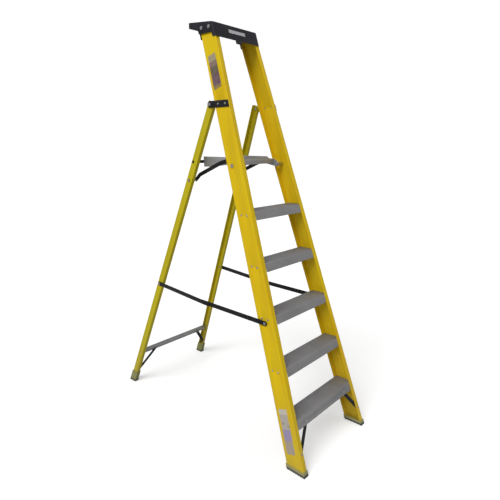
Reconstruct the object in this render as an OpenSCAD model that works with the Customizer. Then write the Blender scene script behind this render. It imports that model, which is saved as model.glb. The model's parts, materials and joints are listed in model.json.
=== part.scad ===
// Folding platform step ladder: a front frame of channel stiles and ribbed treads, a hinged
// rear frame, a lifting platform with link arms, two-piece folding spreaders and a top cap.
// Drawn open and locked. +Z is up, -Y is the side that is climbed, X is left and right.

/* [Overall] */
// Height from one tread to the next, and from the top tread to the platform
step_rise = 235; // [205:1:285]
// Lean of the front frame back from upright, in degrees
front_lean = 18.7; // [16:0.1:22]
// Lean of the rear frame forward from upright, in degrees
rear_lean = 20.9; // [18:0.1:24]
// Outside width of the front frame at the floor
front_width = 563; // [500:1:680]
// Outside width of the rear frame at the floor
rear_width = 589; // [520:1:710]
// How far each stile comes in, in millimetres for each metre up its length
stile_taper = 59.3; // [48:0.1:64]
// Height of the cap's front edge above the platform
guard_height = 638; // [530:1:770]
// Height of the rear frame's hinge above the platform
hinge_rise = 262; // [218:1:315]

/* [Stiles] */
// Width of a stile's web, front to back
stile_w = 92; // [76:1:111]
// Depth of a stile's flanges
stile_flange = 27; // [22:1:33]
// Wall of a stile
stile_t = 3.6; // [3:0.1:4.6]
// Outside corner radius of a stile
stile_r = 3; // [2:0.5:5]

/* [Rear legs] */
// Width of a rear leg's web, front to back
leg_w = 40; // [34:1:49]
// Depth of a rear leg's flanges
leg_flange = 20; // [16:1:24]
// Wall of a rear leg
leg_t = 3.2; // [2.6:0.1:4]
// Space between a folded rear leg and the stile in front of it
fold_gap = 10; // [9:0.5:14]
// How far a rear leg stands above its hinge
leg_head = 14; // [10:1:16]

/* [Treads] */
// Thickness of a tread's top plate
tread_t = 2.4; // [1.8:0.1:3.2]
// Height of the tread's front skirt, along the slope
skirt_front = 42; // [34:1:52]
// Height of the tread's rear skirt, along the slope
skirt_rear = 26; // [20:1:32]
// Distance between the ribs of a tread
rib_pitch = 8; // [6.5:0.5:10]
// Height of the ribs
rib_h = 1.2; // [0.6:0.1:1.8]
// Width of a rib
rib_w = 3; // [2:0.5:4]

/* [Platform] */
// Depth of the platform deck, front to back
deck_d = 228; // [190:1:240]
// Height of the deck's front nosing
deck_nosing = 24; // [20:1:29]
// Thickness of the deck
deck_t = 3; // [2.4:0.1:3.8]
// Thickness of the platform's side plates
side_t = 3; // [2.4:0.1:3.6]
// How far the side plates stand above the deck
side_lip = 12; // [8:1:15]
// Depth of the side plates below the deck at the back
side_depth = 38; // [32:1:46]
// Width of the link arms
link_w = 20; // [16:1:23]
// How far the link arms' lower pivots lie below the platform
link_drop = 110; // [95:1:125]
// How far the link arms' upper pivots lie behind the platform's own pivot
link_reach = 122.1; // [105:0.1:140]

/* [Spreaders] */
// Height of a spreader above the floor at the stile
spreader_z = 669; // [560:1:760]
// How much higher the spreader is at the rear leg
spreader_rise = 28; // [10:1:40]
// Length of the front half between its pivots
spreader_front = 414; // [400:1:422]
// How far the middle pivot lies below the line between the ends
spreader_sag = 11; // [8:1:14]
// Width of a spreader bar
spreader_w = 23; // [18:1:27]
// Thickness of a spreader bar
spreader_t = 3; // [2.4:0.1:3.8]

/* [Braces] */
// Height of the rear frame's bottom rail
rail_z = 218; // [190:1:250]
// Height of the bottom rail
rail_h = 14; // [11:1:17]
// Width of the diagonal braces
brace_w = 20; // [17:1:24]
// Thickness of the diagonal braces
brace_t = 3; // [2.4:0.1:3.8]

/* [Cap and feet] */
// Depth of the cap, front to back
cap_d = 186; // [165:1:224]
// Wall of the cap
cap_t = 4; // [3:0.1:5]
// Depth of the cap's front apron
cap_apron = 66; // [55:1:80]
// Height of the cap's sides
cap_side = 46; // [38:1:50]
// Rise of the cap's rim towards the back, in degrees
cap_rise = 5.5; // [3:0.5:7]
// Depth of the recess in the top of the cap, at its front
tray_depth = 9; // [6:1:12]
// Wall of the front shoes
shoe_wall = 3; // [2:0.1:4]
// Height of the front shoes
shoe_h = 26; // [21:1:32]
// Thickness of rubber under the stiles and legs
sole_t = 9; // [7:1:11]
// Wall of the rear boots
boot_wall = 3; // [2:0.1:3.6]
// Height of the rear boots
boot_h = 72; // [60:1:76]
// Forward reach of the rear boots' toes
boot_toe = 2; // [1:0.5:3]

/* [Fasteners] */
// Radius of the rivet shanks
rivet_r = 2.4; // [2:0.1:2.9]
// Radius of the rivet heads
rivet_head = 5; // [4:0.1:6]
// Radius of the main hinge bolts
hinge_bolt_r = 4; // [3.3:0.1:4.8]
// Radius of the platform's pivot pins
platform_pin_r = 5; // [4.2:0.1:6]
// Radial clearance of a pin in a turning hole
pin_fit = 0.08; // [0.05:0.01:0.1]

/* [Hidden] */
TREADS = [1, 2, 3, 4, 5];

$fn = 48;
seat_gap = 0.1;   // pieces of one body that touch are drawn this far apart
run_gap = 0.5;    // flat pieces that slide past each other
end_gap = 0.8;    // end of a tread, rail or tube to the wall that it meets
hole_fit = 0.05;  // radial clearance around a rivet or a fixed pin
far = 3000;       // longer than anything on the ladder
arc_steps = 8;    // straight pieces in each arc of an outline

stile_slope = atan(stile_taper / 1000);
deck_z = (len(TREADS) + 1) * step_rise;
cap_z = deck_z + guard_height;
hinge_z = deck_z + hinge_rise;
stile_depth_y = stile_w / cos(front_lean);

// Places on a stile, worked out from a point (y, z) in side view
function stile_y(z) = z * tan(front_lean);
function up_stile(y, z) = y * sin(front_lean) + z * cos(front_lean);
function stile_half(y, z) = front_width / 2 - up_stile(y, z) * tan(stile_slope);
function y_across(across, z) = (across + z * sin(front_lean)) / cos(front_lean);

// Places on a rear leg's centre line, worked out from the height z
hinge_y = y_across(stile_w + fold_gap + leg_w / 2, hinge_z);
leg_inset = 1.5;
leg_half_top = stile_half(hinge_y, hinge_z) - leg_inset;
leg_slope = atan((rear_width / 2 - leg_half_top) * cos(rear_lean) / hinge_z);
function leg_y(z) = hinge_y + (hinge_z - z) * tan(rear_lean);
function down_leg(z) = (hinge_z - z) / cos(rear_lean);
function leg_half(z) = leg_half_top + down_leg(z) * tan(leg_slope);

// The ladder's depth, which puts the origin under the middle
front_most = -shoe_wall / cos(front_lean);
rear_most = leg_y(0) + (leg_w / 2 + boot_wall) / cos(rear_lean);
mid_y = (front_most + rear_most) / 2;

function arc(cx, cy, r, from, to) =
    [for (i = [0:arc_steps]) [cx + r * cos(from + (to - from) * i / arc_steps),
                              cy + r * sin(from + (to - from) * i / arc_steps)]];

rivet_head_h = 1.4;
rivet_crown_h = 0.8;
rivet_tail = rivet_head * 0.75;
rivet_tail_h = 1.6;
rivet_hole_h = 30;

module placed() { translate([0, -mid_y, 0]) children(); }
module to_side(side) { if (side < 0) mirror([1, 0, 0]) children(); else children(); }

// x = 0 is the stile's outer face, y = 0 its front edge, and z runs up it
module on_stile(side) {
    placed() to_side(side) rotate([-front_lean, 0, 0]) translate([front_width / 2, 0, 0])
        rotate([0, -stile_slope, 0]) children();
}
module at_stile(side, across, up) {
    on_stile(side) translate([0, across, up / cos(stile_slope)]) children();
}
// x = 0 is the rear leg's outer face, y = 0 its centre line, and z = 0 its hinge
module on_leg(side) {
    placed() to_side(side) translate([leg_half_top, hinge_y, hinge_z]) rotate([rear_lean, 0, 0])
        rotate([0, -leg_slope, 0]) children();
}
module at_leg(side, down) { on_leg(side) translate([0, 0, -down / cos(leg_slope)]) children(); }

module level_slab(from, to) {
    placed() translate([-far / 2, -far / 2, from]) cube([far, far, to - from]);
}
// A round bar along X from x0 to x1
module bar_x(r, x0, x1) { translate([x0, 0, 0]) rotate([0, 90, 0]) cylinder(r = r, h = x1 - x0); }
// The same, at a side view point on one side
module pivot(side, p, r, x0, x1) {
    placed() to_side(side) translate([0, p[0], p[1]]) bar_x(r, x0, x1);
}
module hex_nut(across, x0, x1) {
    translate([x0, 0, 0]) rotate([0, 90, 0]) cylinder(r = across / 2 / cos(30), h = x1 - x0, $fn = 6);
}
// Head of a rivet on x = 0, in two steps
module rivet_top() {
    bar_x(rivet_head, 0, rivet_head_h);
    bar_x(rivet_head * 0.7, rivet_head_h, rivet_head_h + rivet_crown_h);
}
// Rivet through a wall: its outer head sits on x = 0 and its tail at x = -grip
module rivet(grip) {
    bar_x(rivet_r, -grip - 1, 1);
    rivet_top();
    bar_x(rivet_tail, -grip - rivet_tail_h, -grip);
}
module rivet_hole() { bar_x(rivet_r + hole_fit, -rivet_hole_h, rivet_hole_h); }
// Hole for a pin along X through every wall of one side
module pivot_hole(side, p, r) { pivot(side, p, r, 40, 400); }

// Channel section with rounded outside corners: web on x = 0, flanges towards -x
module channel_section(w, flange, t, r) {
    inner = max(r - t, 0.6);
    polygon(concat(
        [[-flange, 0]], arc(-r, r, r, -90, 0), arc(-r, w - r, r, 0, 90), [[-flange, w]],
        [[-flange, w - t]], arc(-t - inner, w - t - inner, inner, 90, 0),
        arc(-t - inner, t + inner, inner, 0, -90), [[-flange, t]]));
}
function unit(v) = v / norm(v);
function left_of(v) = [-v[1], v[0]];
function mitre(p, i, w) =
    let (a = left_of(unit(p[i] - p[i - 1])), b = left_of(unit(p[i + 1] - p[i])), n = unit(a + b))
    n * w / 2 / (n * a);
function heading(v) = atan2(v[1], v[0]);
// Outline of a bar of width w along a bent line of points, with round or square ends
function bar_outline(p, w, round_ends) =
    let (last = len(p) - 1,
         t0 = heading(p[1] - p[0]), t1 = heading(p[last] - p[last - 1]),
         out = left_of(unit(p[last] - p[last - 1])) * w / 2, back = left_of(unit(p[1] - p[0])) * w / 2)
    concat(
        [for (i = [1:1:last - 1]) p[i] + mitre(p, i, w)],
        round_ends ? arc(p[last][0], p[last][1], w / 2, t1 + 90, t1 - 90) : [p[last] + out, p[last] - out],
        [for (i = [last - 1:-1:1]) p[i] - mitre(p, i, w)],
        round_ends ? arc(p[0][0], p[0][1], w / 2, t0 - 90, t0 - 270) : [p[0] - back, p[0] + back]);
// Flat bar in side view along a bent line, with round ends, from x0 to x1
module strap(points, w, x0, x1) { side_extrude(x0, x1) polygon(bar_outline(points, w, true)); }
// Side view outline drawn in (y, z), from x0 to x1
module side_extrude(x0, x1) {
    translate([x0, 0, 0]) rotate([90, 0, 90]) linear_extrude(x1 - x0) children();
}

// ---- front frame ----
tread_rivet_across = [30, 62];
tread_rivet_drop = 20;
tread_bracket_t = 2.5;
hinge_rivet_across = [22, 68];
stile_top_z = cap_z - tray_depth - cap_t - 3;
platform_across = 58;
platform_drop = 27;
platform_pivot = [y_across(platform_across, deck_z - platform_drop), deck_z - platform_drop];
spreader_front_pivot = [y_across(stile_w / 2, spreader_z), spreader_z];
spreader_rear_pivot = [leg_y(spreader_z + spreader_rise), spreader_z + spreader_rise];
stud_r = 3.5;
cap_screw_r = 3;
cap_screw_z = cap_z - tray_depth - 12;
cap_screw_across = [24, 72];
function tread_up(k) = up_stile(stile_y(k * step_rise), k * step_rise);
function cap_screw_up(across) = up_stile(y_across(across, cap_screw_z), cap_screw_z);

module tread_rivet_places(side, k) {
    for (across = tread_rivet_across)
        at_stile(side, across, tread_up(k) + across * tan(front_lean) - tread_rivet_drop) children();
}
module hinge_rivet_places(side) {
    for (across = hinge_rivet_across)
        at_stile(side, across, up_stile(y_across(across, hinge_z), hinge_z)) children();
}
module cap_screw_places(side) {
    for (across = cap_screw_across) at_stile(side, across, cap_screw_up(across)) children();
}
module stile(side) {
    color([0.86, 0.72, 0.05]) difference() {
        intersection() {
            on_stile(side) translate([0, 0, -80]) linear_extrude(far)
                channel_section(stile_w, stile_flange, stile_t, stile_r);
            level_slab(sole_t, stile_top_z);
        }
        for (k = TREADS) tread_rivet_places(side, k) rivet_hole();
        hinge_rivet_places(side) rivet_hole();
        brace_foot_place(side) rivet_hole();
        cap_screw_places(side) bar_x(cap_screw_r + hole_fit, -20, 20);
        pivot_hole(side, platform_pivot, platform_pin_r + hole_fit);
        pivot_hole(side, spreader_front_pivot, stud_r + hole_fit);
    }
}

// Ribs along the top of a tread or deck, as outline points from y0 to y1 at height z
function rib_points(y0, y1, z) = [
    for (y = [y0:rib_pitch:y1 - rib_w - 1])
        each [[y, z], [y + rib_side, z + rib_h], [y + rib_w - rib_side, z + rib_h], [y + rib_w, z]]];

skirt_t = 2.2;
skirt_y = skirt_t / cos(front_lean);
skirt_face = stile_t / cos(front_lean);   // back of the skirt, level with the flange's inside
slope = [-sin(front_lean), -cos(front_lean)];
tread_gap = 1.2;         // end of a tread to a stile's flanges
tread_back = (stile_w - stile_t - tread_gap) / cos(front_lean);
tread_inside = (stile_t + tread_gap) / cos(front_lean);
nosing_r = 3;
first_rib = 4;          // front of the foremost rib
rib_side = 0.5;         // slope of a rib's sides

// Outline of the open part of a tread: front skirt, ribbed top and rear skirt
module tread_section() {
    front = skirt_face - skirt_y;
    polygon(concat(
        [[front, 0] + slope * skirt_front],
        [[front, 0] + slope * nosing_r, [front + 1.2, 0]],
        rib_points(first_rib, tread_back, 0),
        [[tread_back, 0], [tread_back, 0] + slope * skirt_rear,
         [tread_back - skirt_y, 0] + slope * skirt_rear,
         [tread_back - skirt_y, 0] + slope * tread_t / cos(front_lean),
         [skirt_face, 0] + slope * tread_t / cos(front_lean),
         [skirt_face, 0] + slope * skirt_front]));
}
// Outline of the ends that reach into the stiles
module tread_end_section() {
    end_rib = first_rib + rib_pitch * ceil((tread_inside + 1 - first_rib) / rib_pitch);
    polygon(concat(
        [[tread_inside, -tread_t], [tread_inside, 0]],
        rib_points(end_rib, tread_back, 0),
        [[tread_back, 0], [tread_back, 0] + slope * skirt_rear,
         [tread_back - skirt_y, 0] + slope * skirt_rear,
         [tread_back - skirt_y, 0] + slope * tread_t / cos(front_lean)]));
}
module tread(k) {
    z = k * step_rise;
    top_half = stile_half(stile_y(z) + stile_depth_y, z + rib_h);
    open_half = top_half - stile_flange - 1;
    end_half = top_half - stile_t - end_gap;
    color([0.55, 0.55, 0.56]) difference() {
        placed() translate([0, stile_y(z), z]) {
            side_extrude(-open_half, open_half) tread_section();
            side_extrude(-end_half, end_half) tread_end_section();
        }
        if (k == 1) for (side = [-1, 1]) brace_top_place(side) rivet_hole();
    }
}

// Angle inside each end of a tread: one leg on the web, one under the tread's top plate
bracket_reach = 22;
bracket_drop = 28;
bracket_front = 16;     // across the stile, from its front edge
bracket_w = stile_w - 34;
module bracket_block(side, k, x) {
    at_stile(side, bracket_front, tread_up(k) - 44) translate([-stile_t - seat_gap - x, 0, 0])
        cube([x, bracket_w, 80]);
}
module tread_brackets(side) {
    color([0.62, 0.62, 0.63]) for (k = TREADS) {
        z = k * step_rise;
        difference() {
            union() {
                intersection() {
                    bracket_block(side, k, tread_bracket_t);
                    level_slab(z - bracket_drop, z - tread_t - seat_gap);
                }
                intersection() {
                    bracket_block(side, k, bracket_reach);
                    level_slab(z - tread_t - seat_gap - tread_bracket_t, z - tread_t - seat_gap);
                }
            }
            tread_rivet_places(side, k) rivet_hole();
        }
    }
}
module tread_rivets(side) {
    color([0.7, 0.7, 0.7]) for (k = TREADS) tread_rivet_places(side, k)
        translate([seat_gap, 0, 0]) rivet(stile_t + tread_bracket_t + 3 * seat_gap);
}
// Diagonal braces from the bottom tread's skirt to the stiles' front flanges
brace_top_in = 96;       // how far in from the stile's face the brace meets the skirt
brace_top_drop = 26;     // and how far below the tread, along the slope
brace_foot_up = 103;     // how far up the stile the brace meets the flange
// x = 0 is the middle of the ladder, and the local X axis points out of the front flange
module on_front_face(side, half, up) {
    placed() to_side(side) rotate([-front_lean, 0, 0]) translate([half, 0, up])
        rotate([0, 0, -90]) children();
}
brace_top = [stile_half(0, 0) - tread_up(1) * tan(stile_slope) - brace_top_in,
             tread_up(1) - brace_top_drop];
brace_foot_in = stile_t + brace_w / 2 + 1;
brace_foot = [stile_half(0, 0) - brace_foot_up * tan(stile_slope) - brace_foot_in, brace_foot_up];
module brace_top_place(side) { on_front_face(side, brace_top[0], brace_top[1]) children(); }
module brace_foot_place(side) { on_front_face(side, brace_foot[0], brace_foot[1]) children(); }
module bottom_brace(side) {
    color([0.1, 0.1, 0.11]) difference() {
        placed() to_side(side) rotate([-front_lean, 0, 0])
            translate([0, stile_t + seat_gap + brace_t, 0]) rotate([90, 0, 0]) linear_extrude(brace_t)
                polygon(bar_outline([brace_foot, brace_top], brace_w, true));
        brace_top_place(side) rivet_hole();
        brace_foot_place(side) rivet_hole();
    }
}
module bottom_brace_rivets() {
    skirt_from = stile_t - skirt_t;
    color([0.7, 0.7, 0.7]) for (side = [-1, 1]) {
        brace_foot_place(side) translate([seat_gap, 0, 0]) rivet(stile_t + brace_t + 3 * seat_gap);
        brace_top_place(side) translate([seat_gap - skirt_from, 0, 0])
            rivet(skirt_t + brace_t + 3 * seat_gap);
    }
}

// ---- cap ----
cap_bottom = cap_z - cap_apron;
cap_half = stile_half(stile_y(cap_bottom), cap_bottom) + cap_t + 0.4;
cap_gap = 0.6;                                      // between the cap and the stiles' front faces
cap_front = y_across(-cap_gap - cap_t, cap_bottom); // the apron's lower front edge, in side view
cap_back = cap_front + cap_d;
cap_corner = 14;
cap_hollow_corner = 4.5;
cap_lip = 23;                                       // height of the cap where it overhangs the stiles
rim = 9;                                            // width of the rim around the recess
badge_w = 116;
badge_h = 17;
badge_z = cap_z - 30;
badge_t = 1;
tab_w = 40;                                         // tab under the middle of the apron
tab_h = 16;
socket_t = 7;                                       // sockets that back the stiles, inside the cap
socket_drop = 6;
// Plan outline with rounded front corners: half width, front, back and corner radius
module cap_outline(half, front, back, r) {
    polygon(concat(
        arc(half - r, front + r, r, -90, 0),
        [[half, back], [-half, back]],
        arc(-half + r, front + r, r, 180, 270)));
}
// The same outline, run up along the stiles
module cap_plan(half, front, r) {
    rotate([-front_lean, 0, 0]) linear_extrude(far) cap_outline(half, front, far, r);
}
// Height of the rim at y; it stands at the cap's height over the apron's upper edge
function rim_z(y) = cap_z + (y - y_across(-cap_gap - cap_t, cap_z)) * tan(cap_rise);
module top_cap() {
    lid = cap_z - tray_depth - cap_t;
    side_z = cap_z - cap_side;
    lip_z = rim_z(cap_back) - cap_lip;
    rear_edge = y_across(stile_w, side_z);
    socket_z = cap_bottom - socket_drop;
    tab = [-cap_gap - cap_t, up_stile(cap_front, cap_bottom)];
    past = 20;     // how far the cutting outlines run past the cap
    color([0.17, 0.17, 0.18]) placed() {
        difference() {
            intersection() {
                cap_plan(cap_half, -cap_gap - cap_t, cap_corner);
                side_extrude(-cap_half, cap_half) polygon([
                    [cap_front - past, cap_bottom], [cap_front + 20, cap_bottom], [cap_front + 28, side_z],
                    [rear_edge + 6, side_z], [rear_edge + 16, lip_z - 16], [cap_back, lip_z - 4],
                    [cap_back, rim_z(cap_back)], [cap_front - past, rim_z(cap_front - past)]]);
            }
            // hollow underneath
            intersection() {
                cap_plan(cap_half - cap_t, -cap_gap, cap_hollow_corner);
                side_extrude(-cap_half, cap_half) polygon([
                    [cap_front - past, cap_bottom - past], [cap_back - cap_t, cap_bottom - past],
                    [cap_back - cap_t, lid], [cap_front - past, lid]]);
            }
            // recess on top, with upright walls
            translate([0, 0, cap_z - tray_depth]) linear_extrude(far)
                cap_outline(cap_half - rim, y_across(rim - cap_gap - cap_t, cap_z), cap_back - rim,
                            cap_corner - rim);
            for (side = [-1, 1]) to_side(side) translate([0, mid_y, 0]) cap_screw_places(1)
                bar_x(cap_screw_r + hole_fit, -20, 20);
        }
        rotate([-front_lean, 0, 0]) translate([-tab_w / 2, tab[0], tab[1] - tab_h])
            cube([tab_w, cap_t, tab_h + 1]);
        for (side = [-1, 1]) to_side(side) intersection() {
            translate([0, mid_y, 0]) at_stile(1, stile_w + 0.3, 0)
                translate([-stile_flange + 2, 0, 0]) cube([stile_flange - 2, socket_t, far]);
            translate([0, cap_front, socket_z]) cube([cap_half - 1, cap_d, lid + 1 - socket_z]);
        }
    }
}
module cap_badge() {
    color([0.6, 0.61, 0.62]) placed() rotate([-front_lean, 0, 0])
        translate([-badge_w / 2, -cap_gap - cap_t - badge_t - seat_gap,
                   up_stile(stile_y(badge_z), badge_z) - badge_h / 2])
            cube([badge_w, badge_t, badge_h]);
}
screw_washer_r = 9;
screw_washer_h = 1.4;
screw_head_r = 6;
screw_head_h = 2.6;
screw_nut_h = 5;
// How far the cap's outer face stands off the stile at a screw
function cap_stand_off(across) =
    cap_half - stile_half(y_across(across, cap_screw_z), cap_screw_z) + 0.8;
module cap_screws() {
    color([0.6, 0.6, 0.64]) for (side = [-1, 1], across = cap_screw_across)
        at_stile(side, across, cap_screw_up(across)) {
            face = cap_stand_off(across);
            bar_x(cap_screw_r, -stile_t - screw_nut_h - 1, face + screw_washer_h + 1);
            bar_x(screw_washer_r, face, face + screw_washer_h);
            bar_x(screw_head_r, face + screw_washer_h, face + screw_washer_h + screw_head_h);
            bar_x(screw_head_r, -stile_t - screw_nut_h, -stile_t - seat_gap);
        }
}

// ---- hinge ----
bracket_h = 32;
bracket_t = 3;
ear_x = leg_half_top + 2.5;
ear_r = 16;
ear_reach = 50;          // from the hinge forward, under the strip
hinge_head_r = 8;
hinge_head_h = 4;
hinge_nut_across = 13;
hinge_nut_h = 7;
washer_r = 8.5;
module hinge_bracket(side) {
    color([0.09, 0.09, 0.1]) difference() {
        union() {
            intersection() {
                on_stile(side) translate([seat_gap, 1, 0]) cube([bracket_t, stile_w + 11, far]);
                level_slab(hinge_z - bracket_h / 2, hinge_z + bracket_h / 2);
            }
            intersection() {
                placed() to_side(side) {
                    translate([0, hinge_y, hinge_z]) bar_x(ear_r, ear_x, ear_x + bracket_t);
                    translate([ear_x, hinge_y - ear_reach, hinge_z - ear_r])
                        cube([bracket_t, ear_reach, 2 * ear_r]);
                }
                at_stile(side, stile_w + run_gap, 0) translate([-60, 0, 0]) cube([120, far, far]);
            }
        }
        hinge_rivet_places(side) rivet_hole();
        pivot(side, [hinge_y, hinge_z], hinge_bolt_r + hole_fit, ear_x - 8, ear_x + 12);
        // relief so that the sloping plate never touches the leg behind the stile
        intersection() {
            pivot(side, [hinge_y, hinge_z], ear_r + 30, ear_x - 20, ear_x);
            at_stile(side, stile_w + run_gap, 0) translate([-60, 0, 0]) cube([120, far, far]);
        }
    }
}
module hinge_rivets() {
    color([0.7, 0.7, 0.7]) for (side = [-1, 1]) hinge_rivet_places(side)
        translate([bracket_t + 2 * seat_gap, 0, 0]) rivet(bracket_t + stile_t + 4 * seat_gap);
}
module hinge_bolts() {
    inner = leg_half_top - leg_t - 2 * end_gap;
    head_x = ear_x + bracket_t + seat_gap;
    color([0.72, 0.72, 0.74]) for (side = [-1, 1]) placed() to_side(side)
        translate([0, hinge_y, hinge_z]) {
            bar_x(hinge_bolt_r, inner - hinge_nut_h - 1, head_x + 1);
            bar_x(hinge_head_r, head_x, head_x + hinge_head_h);
            hex_nut(hinge_nut_across, inner - hinge_nut_h, inner);
        }
}
module hinge_washers() {
    color([0.75, 0.75, 0.72]) for (side = [-1, 1]) difference() {
        pivot(side, [hinge_y, hinge_z], washer_r, ear_x - 1.5, ear_x - seat_gap);
        pivot(side, [hinge_y, hinge_z], hinge_bolt_r + hole_fit, ear_x - 8, ear_x + 8);
    }
}

// ---- feet ----
groove_w = 4;            // grooves across the soles
groove_h = 2.5;
shoe_groove_pitch = 14;
boot_groove_pitch = 13;
module foot_front(side) {
    color([0.2, 0.2, 0.2]) difference() {
        intersection() {
            on_stile(side) translate([-stile_flange - shoe_wall, -shoe_wall, -80])
                cube([stile_flange + 2 * shoe_wall, stile_w + 2 * shoe_wall, far]);
            level_slab(0, shoe_h);
        }
        intersection() {
            on_stile(side) translate([-stile_flange - seat_gap, -seat_gap, -80])
                cube([stile_flange + 2 * seat_gap, stile_w + 2 * seat_gap, far]);
            level_slab(sole_t - seat_gap, shoe_h + 1);
        }
        for (i = [1:6]) placed() to_side(side)
            translate([front_width / 2 - 2 * stile_flange, i * shoe_groove_pitch - 3, -1])
                cube([3 * stile_flange, groove_w, groove_h + 1]);
    }
}
foot_rivet_z = 38;
toe_h = 6;               // toe of a boot, above the rubber under the leg
module foot_rivet_place(side) { at_leg(side, down_leg(foot_rivet_z)) children(); }
module foot_rear(side) {
    front = -leg_w / 2 - boot_wall;
    color([0.36, 0.36, 0.31]) difference() {
        union() {
            intersection() {
                on_leg(side) translate([-leg_flange - boot_wall, front, -far])
                    cube([leg_flange + 2 * boot_wall, leg_w + 2 * boot_wall, 2 * far]);
                level_slab(0, boot_h);
            }
            intersection() {
                on_leg(side) translate([-leg_flange - boot_wall, front - boot_toe, -far])
                    cube([leg_flange + 2 * boot_wall, leg_w, 2 * far]);
                level_slab(0, sole_t + toe_h);
            }
        }
        intersection() {
            on_leg(side) translate([-leg_flange - seat_gap, -leg_w / 2 - seat_gap, -far])
                cube([leg_flange + 2 * seat_gap, leg_w + 2 * seat_gap, 2 * far]);
            level_slab(sole_t - seat_gap, boot_h + 1);
        }
        for (i = [-1:1]) placed() to_side(side)
            translate([rear_width / 2 - 3 * leg_flange, 0, -1])
                translate([0, leg_y(0) + i * boot_groove_pitch - groove_w / 2, 0])
                    cube([5 * leg_flange, groove_w, groove_h + 1]);
        foot_rivet_place(side) rivet_hole();
    }
}
module foot_rear_rivets() {
    color([0.7, 0.7, 0.7]) for (side = [-1, 1]) foot_rivet_place(side)
        translate([boot_wall + 2 * seat_gap, 0, 0]) rivet(boot_wall + leg_t + 4 * seat_gap);
}

// ---- labels: blank films on the left stile ----
label_t = 0.3;
label_up = [52, deck_z + 334, deck_z + 491];     // width and the heights of its ends
label_low = [48, 82, 283];
module label(size) {
    w = size[0];
    from_z = size[1];
    to_z = size[2];
    middle = stile_w / 2 + 4;
    difference() {
        at_stile(-1, middle - w / 2, up_stile(y_across(middle, from_z), from_z))
            translate([seat_gap / 2, 0, 0]) cube([label_t, w, (to_z - from_z) / cos(front_lean)]);
        for (k = TREADS) tread_rivet_places(-1, k) bar_x(rivet_head + 0.6, -2, 4);
    }
}
module label_upper() { color([0.62, 0.55, 0.5]) label(label_up); }
module label_lower() { color([0.93, 0.92, 0.88]) label(label_low); }

// ---- rear frame ----
link_pivot = [leg_y(deck_z - link_drop), deck_z - link_drop];
tube_r = 8;
tube_pin_r = 4.8;        // the tube's ends, turned down to pass through the legs
tube_z = deck_z - deck_t - tube_r - 4;
tube_p = [leg_y(tube_z) + 8, tube_z];
rail_t = 2.4;
rail_d = leg_w - 2 * (leg_t + brace_t + 2 * seat_gap);   // leaves room for a brace at each flange
rear_brace_in = 100;     // how far in from the leg's face the brace meets the rail
rear_brace_drop = 128;   // how far down the leg from the rail it meets the flange
rear_brace_top = [leg_half(rail_z) - rear_brace_in, 0];
rear_brace_foot = [leg_half(rail_z) + rear_brace_drop * tan(leg_slope) - leg_t - brace_w / 2 - 1,
                   -rear_brace_drop];
// p is a point [out from the middle, up from the rail] in the rear frame's plane, and the local
// X axis points out of its front, a distance of face in front of the legs' centre line
module on_rear_plane(side, p, face) {
    placed() to_side(side) translate([0, leg_y(rail_z), rail_z]) rotate([rear_lean, 0, 0])
        translate([p[0], -face, p[1]]) rotate([0, 0, -90]) children();
}
module rear_brace_place(side) { on_rear_plane(side, rear_brace_foot, leg_w / 2) children(); }
module rail_brace_place(side) {
    on_rear_plane(side, rear_brace_top, rail_d / 2 + seat_gap + brace_t) children();
}
module rail_rivet_places(side) { at_leg(side, down_leg(rail_z)) children(); }
module rear_leg(side) {
    color([0.8, 0.68, 0.08]) difference() {
        intersection() {
            on_leg(side) translate([0, -leg_w / 2, -far]) linear_extrude(far + leg_head)
                channel_section(leg_w, leg_flange, leg_t, stile_r);
            level_slab(sole_t, far);
        }
        pivot_hole(side, [hinge_y, hinge_z], hinge_bolt_r + pin_fit);
        pivot_hole(side, link_pivot, link_bolt_r + hole_fit);
        pivot_hole(side, spreader_rear_pivot, stud_r + hole_fit);
        pivot_hole(side, tube_p, tube_pin_r + hole_fit);
        rear_brace_place(side) rivet_hole();
        foot_rivet_place(side) rivet_hole();
        rail_rivet_places(side) rivet_hole();
    }
}
module rear_rail() {
    half = leg_half(rail_z + rail_h / 2) - leg_t - end_gap;
    y = leg_y(rail_z);
    color([0.6, 0.6, 0.61]) difference() {
        placed() union() {
            side_extrude(-half, half) translate([y, rail_z]) rotate(rear_lean)
                difference() {
                    translate([-rail_d / 2, -rail_h / 2]) square([rail_d, rail_h]);
                    translate([-rail_d / 2 + rail_t, -rail_h / 2 - 1])
                        square([rail_d - 2 * rail_t, rail_h - rail_t + 1]);
                }
            for (side = [-1, 1]) to_side(side) side_extrude(half - 3, half)
                translate([y, rail_z]) rotate(rear_lean)
                    translate([-rail_d / 2 + 0.5, -rail_h / 2]) square([rail_d - 1, rail_h - 0.5]);
        }
        for (side = [-1, 1]) {
            rail_rivet_places(side) rivet_hole();
            rail_brace_place(side) rivet_hole();
        }
    }
}
module rear_rail_rivets() {
    color([0.7, 0.7, 0.7]) for (side = [-1, 1]) rail_rivet_places(side)
        translate([seat_gap, 0, 0]) {
            bar_x(rivet_r, -leg_t - 7, 1);
            rivet_top();
        }
}
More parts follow.
